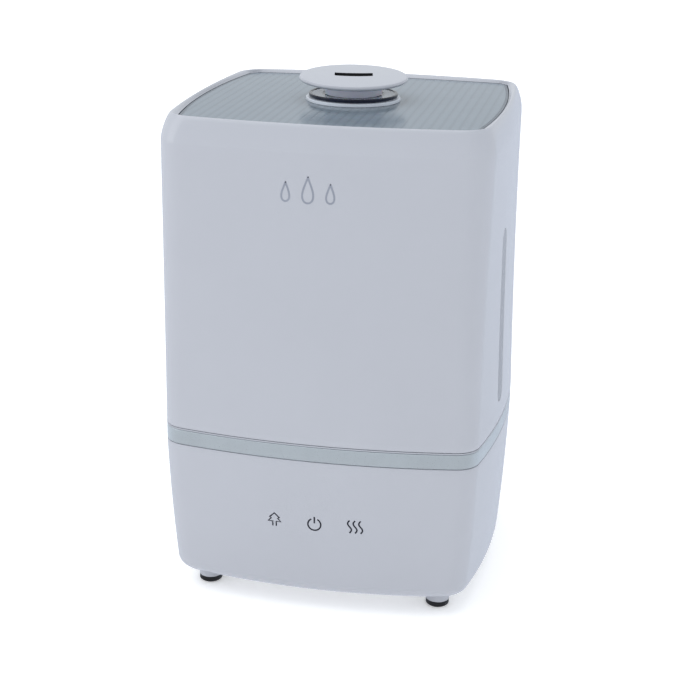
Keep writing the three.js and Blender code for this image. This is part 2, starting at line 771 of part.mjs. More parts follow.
const dish = turnedRing([
  [NECK_FOOT_RADIUS - 4, DISH_LOW - 5],
  [CHIMNEY_INNER - GAP, DISH_LOW - 5],
  [CHIMNEY_INNER - GAP, DISH_LOW],
  [DISH_RADIUS - 0.5, DISH_LOW],
  [DISH_RADIUS, DISH_LOW + 0.8],
  [DISH_RADIUS, DISH_HIGH - 0.4],
  [DISH_RADIUS - 0.6, DISH_HIGH],
  [NECK_FOOT_RADIUS + 1, DISH_HIGH],
  [NECK_FOOT_RADIUS + 0.6, DISH_HIGH - 1.2],
  [NECK_FOOT_RADIUS - 2, DISH_HIGH - 1.2],
  [NECK_FOOT_RADIUS - 2, DISH_LOW - 3],
  [NECK_FOOT_RADIUS - 4, DISH_LOW - 3],
]);
piece(nozzle, "nozzle_dish", dish, SMOKED);

// The slot: a band of an arc that bows towards the front of the disc.
function slotCutter() {
  const centre = SLOT_RADIUS - SLOT_WIDTH / 2;
  const half = Math.asin(SLOT_LENGTH / 2 / SLOT_RADIUS);
  const points = [];
  for (const [radius, side] of [[SLOT_RADIUS, 1], [SLOT_RADIUS - SLOT_WIDTH, -1]]) {
    for (let i = 0; i <= 8; i++) {
      const angle = -Math.PI / 2 + side * half * (i / 4 - 1);
      const x = SLOT_RADIUS * Math.cos(angle);
      points.push(new THREE.Vector2(x, centre + radius * Math.sin(angle)));
    }
  }
  return prism(points, DISC_LOW - 2, DISC_LOW + DISC_THICK + 3);
}

function nozzleHead() {
  const top = DISC_LOW + DISC_THICK;
  const disc = turned([
    [0, DISC_LOW],
    [DISC_RADIUS - 2.4, DISC_LOW],
    [DISC_RADIUS - 0.6, DISC_LOW + 0.3],
    [DISC_RADIUS, DISC_LOW + 1],
    [DISC_RADIUS - 0.3, DISC_LOW + 1.9],
    [DISC_RADIUS - 1.2, top - 0.7],
    [DISC_RADIUS - 3.4, top - 0.3],
    [0, top],
  ]);
  const raked = cut(disc, slotCutter())
    .translate([0, 0, -DISC_LOW])
    .rotate([THREE.MathUtils.radToDeg(DISC_RAKE), 0, 0])
    .translate([0, 0, DISC_LOW]);
  const neck = turnedRing([
    [NECK_FOOT_RADIUS - 1.8, DISH_HIGH - 0.9],
    [NECK_FOOT_RADIUS, DISH_HIGH - 0.9],
    [NECK_RADIUS, DISC_LOW + 1.5],
    [NECK_RADIUS - 1.8, DISC_LOW + 1.5],
  ]);
  const underside = block(-40, 40, -40, 40, -20, 0)
    .rotate([THREE.MathUtils.radToDeg(DISC_RAKE), 0, 0])
    .translate([0, 0, DISC_LOW + 1]);
  return join(neck.intersect(underside), raked);
}
piece(nozzle, "nozzle_head", nozzleHead(), WHITE);

// ---- Filler cap and valve -----------------------------------------------------------------

function fillerCap() {
  const shell = turnedRing([
    [VALVE_HOLE, CAP_PLATE_LOW],
    [CAP_OUTER - 1, CAP_PLATE_LOW],
    [CAP_OUTER, CAP_PLATE_LOW + 1],
    [CAP_OUTER, 115],
    [FILL_OUTER + 0.8 + GAP, 115],
    [FILL_OUTER + 0.8 + GAP, CAP_PLATE_HIGH],
    [VALVE_HOLE, CAP_PLATE_HIGH],
  ]);
  const guide = pipe(4.4, STEM_RADIUS + GAP, 96, CAP_PLATE_HIGH, undefined, COARSE);
  const spokes = cut(
    join(
      block(-VALVE_HOLE - 1, VALVE_HOLE + 1, -0.8, 0.8, CAP_PLATE_LOW, CAP_PLATE_HIGH),
      block(-0.8, 0.8, -VALVE_HOLE - 1, VALVE_HOLE + 1, CAP_PLATE_LOW, CAP_PLATE_HIGH),
    ),
    post(3.6, CAP_PLATE_LOW - THROUGH, CAP_PLATE_HIGH + THROUGH, undefined, COARSE),
  );
  // Finger grips around the skirt.
  const grips = [];
  for (let i = 0; i < 12; i++) {
    const angle = (i * Math.PI) / 6;
    const at = { x: CAP_OUTER * Math.cos(angle), y: CAP_OUTER * Math.sin(angle) };
    grips.push(post(1.4, CAP_PLATE_LOW + 2, 114, at, 8));
  }
  return join(shell, guide, spokes, ...grips);
}
piece(capUnit, "filler_cap", fillerCap(), INNER_WHITE);

const capSeal = pipe(FILL_OUTER, FILL_INNER, CAP_PLATE_HIGH + GAP, FILL_LOW - GAP);
piece(capUnit, "cap_seal", capSeal, SILICONE);

const sealLow = CAP_PLATE_HIGH + GAP + VALVE_LIFT;
const valvePlunger = turned(
  [
    [0, STEM_LOW],
    [5.5, STEM_LOW],
    [5.5, STEM_LOW + 1.6],
    [STEM_RADIUS, STEM_LOW + 1.6],
    [STEM_RADIUS, sealLow + 1.5],
    [10, sealLow + 1.5],
    [10, sealLow + 2.7],
    [0, sealLow + 3.4],
  ],
  COARSE,
);
piece(capUnit, "valve_plunger", valvePlunger, INNER_WHITE);
piece(capUnit, "valve_seal", pipe(9.6, STEM_RADIUS + GAP, sealLow, sealLow + 1.2), SILICONE);

// Compression spring around the stem, between its foot and the guide.
class Helix extends THREE.Curve {
  constructor(radius, low, high, turns) {
    super();
    Object.assign(this, { radius, low, high, turns });
  }
  getPoint(share, target = new THREE.Vector3()) {
    const angle = share * this.turns * 2 * Math.PI;
    const height = this.low + (this.high - this.low) * share;
    return target.set(this.radius * Math.cos(angle), this.radius * Math.sin(angle), height);
  }
}
const wire = new THREE.Shape();
wire.absarc(0, 0, 0.45, 0, 2 * Math.PI);
const springGeometry = new THREE.ExtrudeGeometry(wire, {
  steps: 44,
  curveSegments: 3,
  bevelEnabled: false,
  extrudePath: new Helix(3.6, STEM_LOW + 2.5, 95.1, 5),
});
piece(capUnit, "valve_spring", solid(springGeometry), STEEL);

export default humidifier;
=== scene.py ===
import math

import bmesh
import bpy
from mathutils import Matrix, Vector


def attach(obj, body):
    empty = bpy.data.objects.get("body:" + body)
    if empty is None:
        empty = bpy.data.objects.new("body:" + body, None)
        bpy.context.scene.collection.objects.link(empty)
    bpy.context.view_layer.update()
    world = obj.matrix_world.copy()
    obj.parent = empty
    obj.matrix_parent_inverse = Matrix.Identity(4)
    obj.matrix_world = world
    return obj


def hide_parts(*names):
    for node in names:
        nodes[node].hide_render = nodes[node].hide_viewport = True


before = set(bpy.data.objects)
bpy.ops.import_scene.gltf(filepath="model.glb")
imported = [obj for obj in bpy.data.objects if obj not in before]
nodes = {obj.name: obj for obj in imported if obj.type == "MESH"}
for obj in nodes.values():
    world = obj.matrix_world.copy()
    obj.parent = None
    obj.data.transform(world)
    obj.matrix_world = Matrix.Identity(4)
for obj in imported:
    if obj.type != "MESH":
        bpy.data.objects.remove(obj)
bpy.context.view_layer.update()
scene = bpy.context.scene

MM = 0.001
GAP = 0.3
WALL = 2.6

# ---- Body dimensions ----------------------------------------------------------------------

HALF_WIDTH = 106
HALF_DEPTH = 107.8
SIDE_BOW = (8.6, 3.2)  # at the band and at the top
FRONT_BOW = (7.8, 6.6)
CORNER = (15.4, 19)
TANK_WIDTH_TAPER = (-0.066, 0.028)
TANK_DEPTH_TAPER = (0.036, -0.069)
BASE_WIDTH_TAPER = (-0.012, -0.032)
BASE_DEPTH_TAPER = (-0.055, 0)
UNDERSIDE = 10.6
SEAM_LOW = 102.5
SEAM_HIGH = 113.1
RIM_TOP = 303.8
RIM_EDGE = 302.1
PANEL_TOP = 301.9
TOP_ROUND_HEIGHT = 15.6
TOP_ROUND_WIDTH = 5.3
TOP_ROUND_POWER = 1.42
BOTTOM_ROUND = 9.2
SHOULDER = RIM_TOP - TOP_ROUND_HEIGHT
TANK_LOW = SEAM_HIGH + GAP
DECK_HIGH = 300.2

PANEL_HALF_WIDTH = 94.1
PANEL_HALF_DEPTH = 93.2
PANEL_SIDE_BOW = 6.3
PANEL_FRONT_BOW = 4.5
PANEL_CORNER = 8.2
PANEL_BORDER = 1.6
GROOVE_PITCH = 5.44
GROOVE_WIDTH = 1.5
GROOVE_DEPTH = 0.05

CHIMNEY_OUTER = 22
CHIMNEY_INNER = 19.8
CHIMNEY_HOLE = 24.4
COLLAR_RADIUS = 29.3
COLLAR_LOW = PANEL_TOP + 0.05
DISH_RADIUS = 27.8
DISH_LOW = 304.2
DISH_HIGH = 306.3
NECK_RADIUS = 19
NECK_FOOT_RADIUS = 17.6
DISC_RADIUS = 34
DISC_LOW = 314
DISC_THICK = 3.2
DISC_RAKE = math.radians(3.3)
NOZZLE_TURN = math.radians(11)
SLOT_LENGTH = 23.6
SLOT_WIDTH = 9
SLOT_RADIUS = 34

FILL_NECK = (50, 42)
STEM_LOW = 84
TUB_INSET = 6
TUB_WALL = 2
TUB_INNER = TUB_INSET + TUB_WALL
TUB_ROUND = 5
TUB_FLOOR_INSET = 20
POST_RADIUS = 3
TUB_FLOOR = 72
FLOOR_THICK = 2.4
LIP_THICK = 0.8
RIM_INSET = 2.7
BAND_TOP = 112
WELL_RADIUS = 23
WELL_BORE = 9
WELL_FLOOR = 58
AIR = (-42, 30)
AIR_TUBE_OUTER = 20
AIR_TUBE_INNER = 17.8
AIR_TUBE_TOP = 104
FLOAT = (-56, -54)

FOOT = (73.9, 75.6)
STUB_RADIUS = 7.4
PAD_RADIUS = 7.3
PAD_HIGH = 4
COVER_HALF = 77
COVER_CORNER = 32
COVER_HIGH = 13.4
LEDGE_HALF = 68
LEDGE_CORNER = 26
LEDGE_HIGH = 16.6
BOSS = 64
BOSS_HIGH = 30

WINDOW_Y = -40.8
WINDOW_Z = 181.3
WINDOW_HALF_HEIGHT = 55
WINDOW_HALF_WIDTH = 7

GLAND_X = 30
GLAND_Z = 31
GLAND_SEAT = 101.2
GLAND_BORE = 3.6
GLAND_HOLE = 6
GLAND_FLANGE = 8

ICON_Z = 61
ICON_PITCH = 25.1
ICON_SHIFT = 0.5
ICON_LINE = 0.92
MOTIF_X = -5
MOTIF_Z = 268
MOTIF_PITCH = 13
MOTIF_LINE = 1.1

# ---- Mesh helpers -------------------------------------------------------------------------

SIDE_STEPS = 24
CORNER_STEPS = 14
ROUND = 128
SMOOTH_ANGLE = 35  # degrees: sharper edges stay sharp
AXIS = 0.01  # a turned profile's radius where it ends on its axis


def link(name, mesh):
    piece = bpy.data.objects.new(name, mesh)
    scene.collection.objects.link(piece)
    return piece


def soften(piece, angle=SMOOTH_ANGLE):
    mesh = piece.data
    mesh.polygons.foreach_set("use_smooth", [True] * len(mesh.polygons))
    mesh.set_sharp_from_angle(angle=math.radians(angle))
    return piece


def mesh_piece(name, points, faces, angle=SMOOTH_ANGLE):
    mesh = bpy.data.meshes.new(name)
    mesh.from_pydata([Vector(p) * MM for p in points], [], faces)
    work = bmesh.new()
    work.from_mesh(mesh)
    bmesh.ops.remove_doubles(work, verts=work.verts, dist=1e-7)
    bmesh.ops.recalc_face_normals(work, faces=work.faces)
    work.to_mesh(mesh)
    work.free()
    return soften(link(name, mesh), angle)


def skin(name, rings, closed=False, angle=SMOOTH_ANGLE):
    """A mesh through rings of equal point count. A closed one comes back to its first ring."""
    count = len(rings[0])
    levels = len(rings)
    faces = []
    for level in range(levels if closed else levels - 1):
        low = level * count
        high = (level + 1) % levels * count
        for i in range(count):
            j = (i + 1) % count
            faces.append((low + i, low + j, high + j, high + i))
    if not closed:
        faces.append(tuple(reversed(range(count))))
        faces.append(tuple(range((levels - 1) * count, levels * count)))
    return mesh_piece(name, [p for ring in rings for p in ring], faces, angle)


def turned(name, profile, steps=ROUND, angle=SMOOTH_ANGLE, closed=True, at=(0, 0)):
    """A profile of (radius, height) turned around Z. A closed one is a ring's section."""
    rings = []
    for radius, height in profile:
        ring = []
        for i in range(steps):
            turn = 2 * math.pi * i / steps
            ring.append((at[0] + radius * math.cos(turn), at[1] + radius * math.sin(turn), height))
        rings.append(ring)
    return skin(name, rings, closed, angle)


def filleted(profile, radius, steps=5, closed=True):
    """The profile with each corner rounded, by one radius or by a list of them."""
    count = len(profile)
    radii = radius if isinstance(radius, (list, tuple)) else [radius] * count
    points = []
    for i, corner in enumerate(profile):
        here = Vector(corner)
        if radii[i] == 0 or (not closed and i in (0, count - 1)):
            points.append(tuple(here))
            continue
        back = Vector(profile[i - 1]) - here
        ahead = Vector(profile[(i + 1) % count]) - here
        reach = 0.48 * min(back.length, ahead.length)
        back.normalize()
        ahead.normalize()
        half = math.acos(max(-1, min(1, back.dot(ahead)))) / 2
        if half > math.radians(88):
            points.append(tuple(here))
            continue
        run = min(reach, radii[i] / math.tan(half))
        round_radius = run * math.tan(half)
        centre = here + (back + ahead).normalized() * round_radius / math.sin(half)
        start = here + back * run - centre
        end = here + ahead * run - centre
        for step in range(steps + 1):
            share = step / steps
            blend = start * (1 - share) + end * share
            points.append(tuple(centre + blend.normalized() * round_radius))
    return points


def boolean(piece, cutter, operation="DIFFERENCE"):
    modifier = piece.modifiers.new("cut", "BOOLEAN")
    modifier.operation = operation
    modifier.solver = "EXACT"
    modifier.object = cutter
    bpy.context.view_layer.update()
    graph = bpy.context.evaluated_depsgraph_get()
    result = bpy.data.meshes.new_from_object(piece.evaluated_get(graph))
    piece.modifiers.clear()
    old = piece.data
    result.name = old.name
    piece.data = result
    bpy.data.meshes.remove(old)
    bpy.data.objects.remove(cutter)
    return soften(piece)


def merge(name, pieces):
    """One piece from several closed ones. It has no material yet."""
    work = bmesh.new()
    for piece in pieces:
        work.from_mesh(piece.data)
    mesh = bpy.data.meshes.new(name)
    work.to_mesh(mesh)
    work.free()
    for piece in pieces:
        bpy.data.objects.remove(piece)
    return soften(link(name, mesh))


def place(piece, matrix):
    piece.data.transform(matrix)
    return piece


# ---- Outlines -----------------------------------------------------------------------------


def arc(x, y, radius, start, end, steps):
    """Points along an arc, without its last one."""
    turns = [start + (end - start) * i / steps for i in range(steps)]
    return [(x + radius * math.cos(t), y + radius * math.sin(t)) for t in turns]


def bowed_square(half_x, half_y, bow_x, bow_y, corner, sides=SIDE_STEPS, corners=CORNER_STEPS):
    """A rectangle with bowed sides and round corners, counterclockwise from +X."""
    corner_x = half_x - corner - bow_x
    corner_y = half_y - corner - bow_y
    radius_x = (corner_y**2 + bow_x**2) / (2 * bow_x)
    radius_y = (corner_x**2 + bow_y**2) / (2 * bow_y)
    side_end = math.asin(corner_y / radius_x)
    back_start = math.pi / 2 - math.asin(corner_x / radius_y)
    quarter = arc(half_x - corner - radius_x, 0, radius_x + corner, 0, side_end, sides)
    quarter += arc(corner_x, corner_y, corner, side_end, back_start, corners)
    quarter += arc(0, half_y - corner - radius_y, radius_y + corner, back_start, math.pi / 2, sides)
    upper = quarter + [(0, half_y)] + [(-x, y) for x, y in reversed(quarter)]
    lower = [(x, -y) for x, y in reversed(upper[1:-1])]
    return upper + lower


def taper(terms, share):
    return 1 + terms[0] * share + terms[1] * share**2


def rounding_inset(width, power, share):
    share = min(1, max(0, share))
    return width * (1 - (1 - share**power) ** (1 / power))


def body_sizes(z, inset=0):
    """Half width, half depth, bows and corner radius of the body at a height."""
    up = max(0, (z - SEAM_HIGH) / (RIM_TOP - SEAM_HIGH))
    down = max(0, (SEAM_LOW - z) / (SEAM_LOW - UNDERSIDE))
    drawn_in = inset
    drawn_in += rounding_inset(TOP_ROUND_WIDTH, TOP_ROUND_POWER, (z - SHOULDER) / TOP_ROUND_HEIGHT)
    drawn_in += rounding_inset(BOTTOM_ROUND, 2, (UNDERSIDE + BOTTOM_ROUND - z) / BOTTOM_ROUND)
    width = HALF_WIDTH * taper(TANK_WIDTH_TAPER, up) * taper(BASE_WIDTH_TAPER, down)
    depth = HALF_DEPTH * taper(TANK_DEPTH_TAPER, up) * taper(BASE_DEPTH_TAPER, down)
    side_bow = SIDE_BOW[0] + (SIDE_BOW[1] - SIDE_BOW[0]) * up
    front_bow = FRONT_BOW[0] + (FRONT_BOW[1] - FRONT_BOW[0]) * up
    corner = CORNER[0] + (CORNER[1] - CORNER[0]) * up - 0.15 * drawn_in
    return width - drawn_in, depth - drawn_in, side_bow, front_bow, corner


def body_outline(z, inset=0):
    return bowed_square(*body_sizes(z, inset))


def body_ring(z, inset=0, outline_z=None):
    outline = body_outline(z if outline_z is None else outline_z, inset)
    return [(x, y, z) for x, y in outline]


def front_y(x, z):
    """Where the front's surface is at a place on it."""
    half_x, half_y, bow_x, bow_y, corner = body_sizes(z)
    corner_x = half_x - corner - bow_x
    radius = (corner_x**2 + bow_y**2) / (2 * bow_y)
    return -(half_y - corner - radius) - math.sqrt((radius + corner) ** 2 - x**2)


def panel_outline(inset=0):
    return bowed_square(
        PANEL_HALF_WIDTH - inset,
        PANEL_HALF_DEPTH - inset,
        PANEL_SIDE_BOW,
        PANEL_FRONT_BOW,
        PANEL_CORNER,
    )


def flat_ring(outline, z):
    return [(x, y, z) for x, y in outline]


def round_ring(radius, z, outline):
    """A circle whose points stand at the same angles as the outline's."""
    ring = []
    for x, y in outline:
        turn = math.atan2(y, x)
        ring.append((radius * math.cos(turn), radius * math.sin(turn), z))
    return ring


STRAIGHT = 0.01  # a bow too small to see


def square_outline(half, corner):
    return bowed_square(half, half, STRAIGHT, STRAIGHT, corner)


def steps_between(low, high, steps):
    return [low + (high - low) * i / steps for i in range(steps + 1)]


def inside(point, outline):
    """Whether a convex outline, counterclockwise, holds the point."""
    x, y = point
    for (ax, ay), (bx, by) in zip(outline, outline[1:] + outline[:1]):
        if (bx - ax) * (y - ay) - (by - ay) * (x - ax) < 0:
            return False
    return True


# ---- Materials ----------------------------------------------------------------------------


GLOSS_SPREAD = 0.24  # how far the roughness drifts, as a share of itself
GLOSS_LEAST = 0.01
WAVE_FLOOR = -0.2  # where the grooves' cosine is cut off, which widens the plain strips


def shade(name):
    material = bpy.data.materials.new(name)
    material.use_nodes = True
    return material, material.node_tree, material.node_tree.nodes["Principled BSDF"]


def plastic(
    name,
    color,
    roughness,
    tint=0.03,
    mottle=60,
    grain=900,
    relief=0.00001,
    metallic=0.0,
    transmission=0.0,
    ior=1.49,
    subsurface=0.0,
):
    """A moulded or rolled finish: slow colour drift, fine surface grain and uneven gloss."""
    material, tree, shader = shade(name)
    add = tree.nodes.new
    wire = tree.links.new
    place_node = add("ShaderNodeTexCoord")
    drift = add("ShaderNodeTexNoise")
    drift.inputs["Scale"].default_value = mottle
    drift.inputs["Detail"].default_value = 3
    fine = add("ShaderNodeTexNoise")
    fine.inputs["Scale"].default_value = grain
    fine.inputs["Detail"].default_value = 2
    wire(place_node.outputs["Object"], drift.inputs["Vector"])
    wire(place_node.outputs["Object"], fine.inputs["Vector"])
    ramp = add("ShaderNodeValToRGB")
    dark = [c * (1 - tint) for c in color]
    light = [min(1, c * (1 + tint)) for c in color]
    ramp.color_ramp.elements[0].position = 0.35
    ramp.color_ramp.elements[0].color = (*dark, 1)
    ramp.color_ramp.elements[1].position = 0.65
    ramp.color_ramp.elements[1].color = (*light, 1)
    wire(drift.outputs["Fac"], ramp.inputs["Fac"])
    wire(ramp.outputs["Color"], shader.inputs["Base Color"])
    gloss = add("ShaderNodeMapRange")
    gloss.inputs["To Min"].default_value = max(GLOSS_LEAST, roughness * (1 - GLOSS_SPREAD))
    gloss.inputs["To Max"].default_value = roughness * (1 + GLOSS_SPREAD)
    wire(fine.outputs["Fac"], gloss.inputs["Value"])
    wire(gloss.outputs["Result"], shader.inputs["Roughness"])
    bump = add("ShaderNodeBump")
    bump.inputs["Strength"].default_value = 1
    bump.inputs["Distance"].default_value = relief
    wire(fine.outputs["Fac"], bump.inputs["Height"])
    wire(bump.outputs["Normal"], shader.inputs["Normal"])
    shader.inputs["Metallic"].default_value = metallic
    shader.inputs["Transmission Weight"].default_value = transmission
    shader.inputs["IOR"].default_value = ior
    shader.inputs["Subsurface Weight"].default_value = subsurface
    shader.inputs["Subsurface Scale"].default_value = 0.002
    return material


def glow(material, color, strength):
    """Light the material gives off of its own. On the nozzle neck it is painted light; on the floor it keeps
    the floor evenly bright.
    """
    shader = material.node_tree.nodes["Principled BSDF"]
    shader.inputs["Emission Color"].default_value = (*color, 1)
    shader.inputs["Emission Strength"].default_value = strength


def math_node(tree, operation, first, second=None):
    """A Math node of a socket and a number."""
    node = tree.nodes.new("ShaderNodeMath")
    node.operation = operation
    tree.links.new(first, node.inputs[0])
    if second is not None:
        node.inputs[1].default_value = second
    return node.outputs[0]


def grooved_grey():
    """Glossy grey panel, a little darker along the grooves that run from front to back."""
    material = plastic("panel_gloss", (0.18, 0.222, 0.262), 0.15, tint=0.02, ior=1.3, relief=0.000002)
    tree = material.node_tree
    shader = tree.nodes["Principled BSDF"]
    spot = tree.nodes.new("ShaderNodeTexCoord")
    split = tree.nodes.new("ShaderNodeSeparateXYZ")
    tree.links.new(spot.outputs["Object"], split.inputs["Vector"])
    turns = math_node(tree, "MULTIPLY", split.outputs["X"], 2 * math.pi / (GROOVE_PITCH * MM))
    wave = math_node(tree, "COSINE", turns)
    lifted = math_node(tree, "MAXIMUM", wave, WAVE_FLOOR)
    stripe = tree.nodes.new("ShaderNodeMapRange")
    stripe.inputs["From Min"].default_value = WAVE_FLOOR
    stripe.inputs["To Min"].default_value = 1.03
    stripe.inputs["To Max"].default_value = 0.9
    tree.links.new(lifted, stripe.inputs["Value"])
    scaled = tree.nodes.new("ShaderNodeVectorMath")
    scaled.operation = "SCALE"
    ramp = next(n for n in tree.nodes if n.bl_idname == "ShaderNodeValToRGB")
    tree.links.new(ramp.outputs["Color"], scaled.inputs[0])
    tree.links.new(stripe.outputs["Result"], scaled.inputs["Scale"])
    tree.links.new(scaled.outputs[0], shader.inputs["Base Color"])
    return material


WHITE = plastic("gloss_white", (0.485, 0.497, 0.545), 0.2, tint=0.008, mottle=14, relief=0.000002)
SILVER = plastic(
    "satin_silver", (0.51, 0.56, 0.6), 0.3, tint=0.02, grain=2500, metallic=0.35, relief=0.000003
)
PANEL = grooved_grey()
# Painted shade: dark grey for the wall round the top panel and for the panel's border, where the groove
# between them lies in shade.
RECESS_PAINTED_SHADE = plastic("recess_painted_shade", (0.11, 0.13, 0.16), 0.3, tint=0.05)
SMOKED = plastic("smoked_clear", (0.42, 0.46, 0.53), 0.06, tint=0.02, transmission=0.9, relief=0.000001)
SMOKED_EDGE = plastic("smoked_edge", (0.012, 0.015, 0.035), 0.08, tint=0.1, relief=0.000001)
CLEAR = plastic("clear_moulding", (0.82, 0.87, 0.92), 0.12, tint=0.02, transmission=0.75)
PANE = plastic("window_pane", (0.36, 0.37, 0.4), 0.16, tint=0.02, transmission=0.45)
# Partly the collar's own frosted finish and partly painted light: it is made far paler than the white shell
# to lift it out of the dish's shade.
FROST_AND_PAINTED_LIGHT = plastic("frosted_collar_painted_light", (0.86, 0.9, 0.97), 0.25, tint=0.02)
# Painted light: the neck is paler than the white shell and glows faintly, to lift it out of the disc's shade.
NECK_PAINTED_LIGHT = plastic("nozzle_neck_painted_light", (0.86, 0.88, 1.0), 0.25, tint=0.02, subsurface=0.2)
glow(NECK_PAINTED_LIGHT, (0.7, 0.75, 1), 0.07)
INNER = plastic("inner_white", (0.62, 0.64, 0.67), 0.42, tint=0.03, relief=0.00002)
RUBBER = plastic("foot_rubber", (0.012, 0.012, 0.015), 0.55, tint=0.25, relief=0.00005)
SILICONE = plastic("silicone_grey", (0.5, 0.52, 0.54), 0.5, tint=0.04, relief=0.00002)
STEEL = plastic("plated_steel", (0.5, 0.51, 0.53), 0.28, tint=0.05, metallic=1.0, relief=0.00001)
ALUMINIUM = plastic("cast_aluminium", (0.58, 0.59, 0.61), 0.36, tint=0.05, metallic=1.0, relief=0.00003)
BOARD = plastic("board_green", (0.012, 0.1, 0.045), 0.4, tint=0.3, mottle=300, relief=0.00002)
BLACK = plastic("black_plastic", (0.015, 0.015, 0.018), 0.4, tint=0.15, relief=0.00002)
# Painted shade: near-black for the nozzle's bore, the slot's walls and the faces under the neck, which lie in
# shade.
NOZZLE_PAINTED_SHADE = plastic("nozzle_inside_painted_shade", (0.008, 0.008, 0.01), 0.6, tint=0.2)
CERAMIC = plastic("ceramic", (0.75, 0.71, 0.62), 0.3, tint=0.03)
COPPER = plastic("copper", (0.62, 0.27, 0.13), 0.3, tint=0.1, metallic=1.0, relief=0.00002)
FOAM = plastic("foam_dark", (0.04, 0.043, 0.047), 0.9, tint=0.5, grain=1400, relief=0.0004)
INK = plastic("icon_ink", (0.008, 0.01, 0.024), 0.4, tint=0.1)
PALE_INK = plastic("motif_ink", (0.29, 0.31, 0.37), 0.4, tint=0.04)


def finished(piece, material, body, slot, *replaced):
    """The piece with its material and body, in place of the CAD nodes named last. Its slot is not used."""
    piece.data.materials.clear()
    piece.data.materials.append(material)
    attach(piece, body)
    if replaced:
        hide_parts(*replaced)
    return piece


# ---- Tank ---------------------------------------------------------------------------------

EDGE = 0.5  # small rounding of moulded edges
EDGE_MIDDLE = 0.15  # how far its middle stands in from both faces


def tank_skin():
    rings = [body_ring(TANK_LOW, EDGE)]
    rings.append(body_ring(TANK_LOW + EDGE_MIDDLE, EDGE_MIDDLE))
    rings.append(body_ring(TANK_LOW + EDGE))
    rings += [body_ring(z) for z in steps_between(TANK_LOW + EDGE, SHOULDER, 44)[1:]]
    for share in steps_between(0, 1, 28)[1:]:
        rings.append(body_ring(SHOULDER + (RIM_TOP - SHOULDER) * math.sin(share * math.pi / 2)))
    crest = body_outline(RIM_TOP)
    edge = panel_outline(-GAP - EDGE)
    for share in steps_between(0, 1, 8)[1:]:
        z = RIM_TOP - (RIM_TOP - RIM_EDGE) * share**2
        ring = []
        for (out_x, out_y), (in_x, in_y) in zip(crest, edge):
            ring.append((out_x + (in_x - out_x) * share, out_y + (in_y - out_y) * share, z))
        rings.append(ring)
    rings.append(flat_ring(panel_outline(-GAP - EDGE_MIDDLE), RIM_EDGE - EDGE_MIDDLE))
    recess = panel_outline(-GAP)
    rings.append(flat_ring(recess, RIM_EDGE - EDGE))
    rings.append(flat_ring(recess, DECK_HIGH))
    rings.append(round_ring(CHIMNEY_HOLE, DECK_HIGH, recess))
    rings.append(round_ring(CHIMNEY_HOLE, DECK_HIGH - WALL, recess))
    rings += [body_ring(z, WALL) for z in [DECK_HIGH - WALL] + steps_between(SHOULDER, TANK_LOW, 30)]
    return skin("tank_skin", rings, closed=True)


def window_outline(shrink):
    """The gauge's outline, a bar with round ends, as (y, z) points."""
    radius = WINDOW_HALF_WIDTH - shrink
    reach = WINDOW_HALF_HEIGHT - WINDOW_HALF_WIDTH
    ends = arc(WINDOW_Y, WINDOW_Z + reach, radius, 0, math.pi, 24) + [(WINDOW_Y - radius, WINDOW_Z + reach)]
    ends += arc(WINDOW_Y, WINDOW_Z - reach, radius, math.pi, 2 * math.pi, 24)
    return ends + [(WINDOW_Y + radius, WINDOW_Z - reach)]


WINDOW_BAR_ENDS = (80, 120)


def window_bar(name, shrink):
    """A bar along X, through the tank's right wall."""
    outline = window_outline(shrink)
    return skin(name, [[(x, y, z) for y, z in outline] for x in WINDOW_BAR_ENDS])


shell = boolean(tank_skin(), window_bar("window_cutter", 0))
finished(shell, WHITE, "tank", "shell_white", "tank_shell")
# The recess wall round the panel takes the painted shade.
shell.data.materials.append(RECESS_PAINTED_SHADE)
for face in shell.data.polygons:
    at_rim = (DECK_HIGH - 0.1) * MM < face.center.z < (RIM_EDGE - 0.2) * MM
    inward = face.normal.x * face.center.x + face.normal.y * face.center.y < 0
    if at_rim and inward and abs(face.normal.z) < 0.5:
        face.material_index = 1

wall_rings = [body_ring(z, 0.05) for z in steps_between(TANK_LOW + 1, SHOULDER, 44)]
wall_rings += [body_ring(z, WALL) for z in steps_between(SHOULDER, TANK_LOW + 1, 44)]
pane = boolean(skin("window_pane", wall_rings, closed=True), window_bar("pane_cutter", GAP), "INTERSECT")
finished(pane, PANE, "tank", "window_clear", "water_window")


PANEL_HOLE_ENDS = (290, 310)


def top_panel():
    """A slab with shallow grooves along its top, inside a plain border."""
    reach = 100
    half = GROOVE_WIDTH / 2
    across = [(-reach, PANEL_TOP)]
    grooves = int(reach / GROOVE_PITCH)
    for groove in range(-grooves, grooves + 1):
        for offset in steps_between(-half, half, 8):
            dip = GROOVE_DEPTH * (1 + math.cos(math.pi * offset / half)) / 2
            across.append((groove * GROOVE_PITCH + offset, PANEL_TOP - dip))
    across.append((reach, PANEL_TOP))
    strip = [(-reach, DECK_HIGH - 1)] + across + [(reach, DECK_HIGH - 1)]
    plate = skin("top_panel_skin", [[(x, y, z) for x, z in strip] for y in (-reach, reach)])
    trim = [flat_ring(panel_outline(PANEL_BORDER), z) for z in (DECK_HIGH + GAP, PANEL_TOP + 1)]
    plate = boolean(plate, skin("panel_trim", trim), "INTERSECT")
    hole_ends = [(CHIMNEY_HOLE, z) for z in PANEL_HOLE_ENDS]
    hole = turned("collar_hole", hole_ends, closed=False)
    plate = boolean(plate, hole)
    section = filleted(
        [
            (0, DECK_HIGH + GAP),
            (0, PANEL_TOP),
            (PANEL_BORDER, PANEL_TOP),
            (PANEL_BORDER, DECK_HIGH + GAP),
        ],
        [0.1, 0.4, 0.2, 0.1],
    )
    border = skin("border", [flat_ring(panel_outline(inset), z) for inset, z in section], closed=True)
    return merge("top_panel_skin", [plate, border])


panel = finished(top_panel(), PANEL, "tank", "panel_grey", "top_panel")
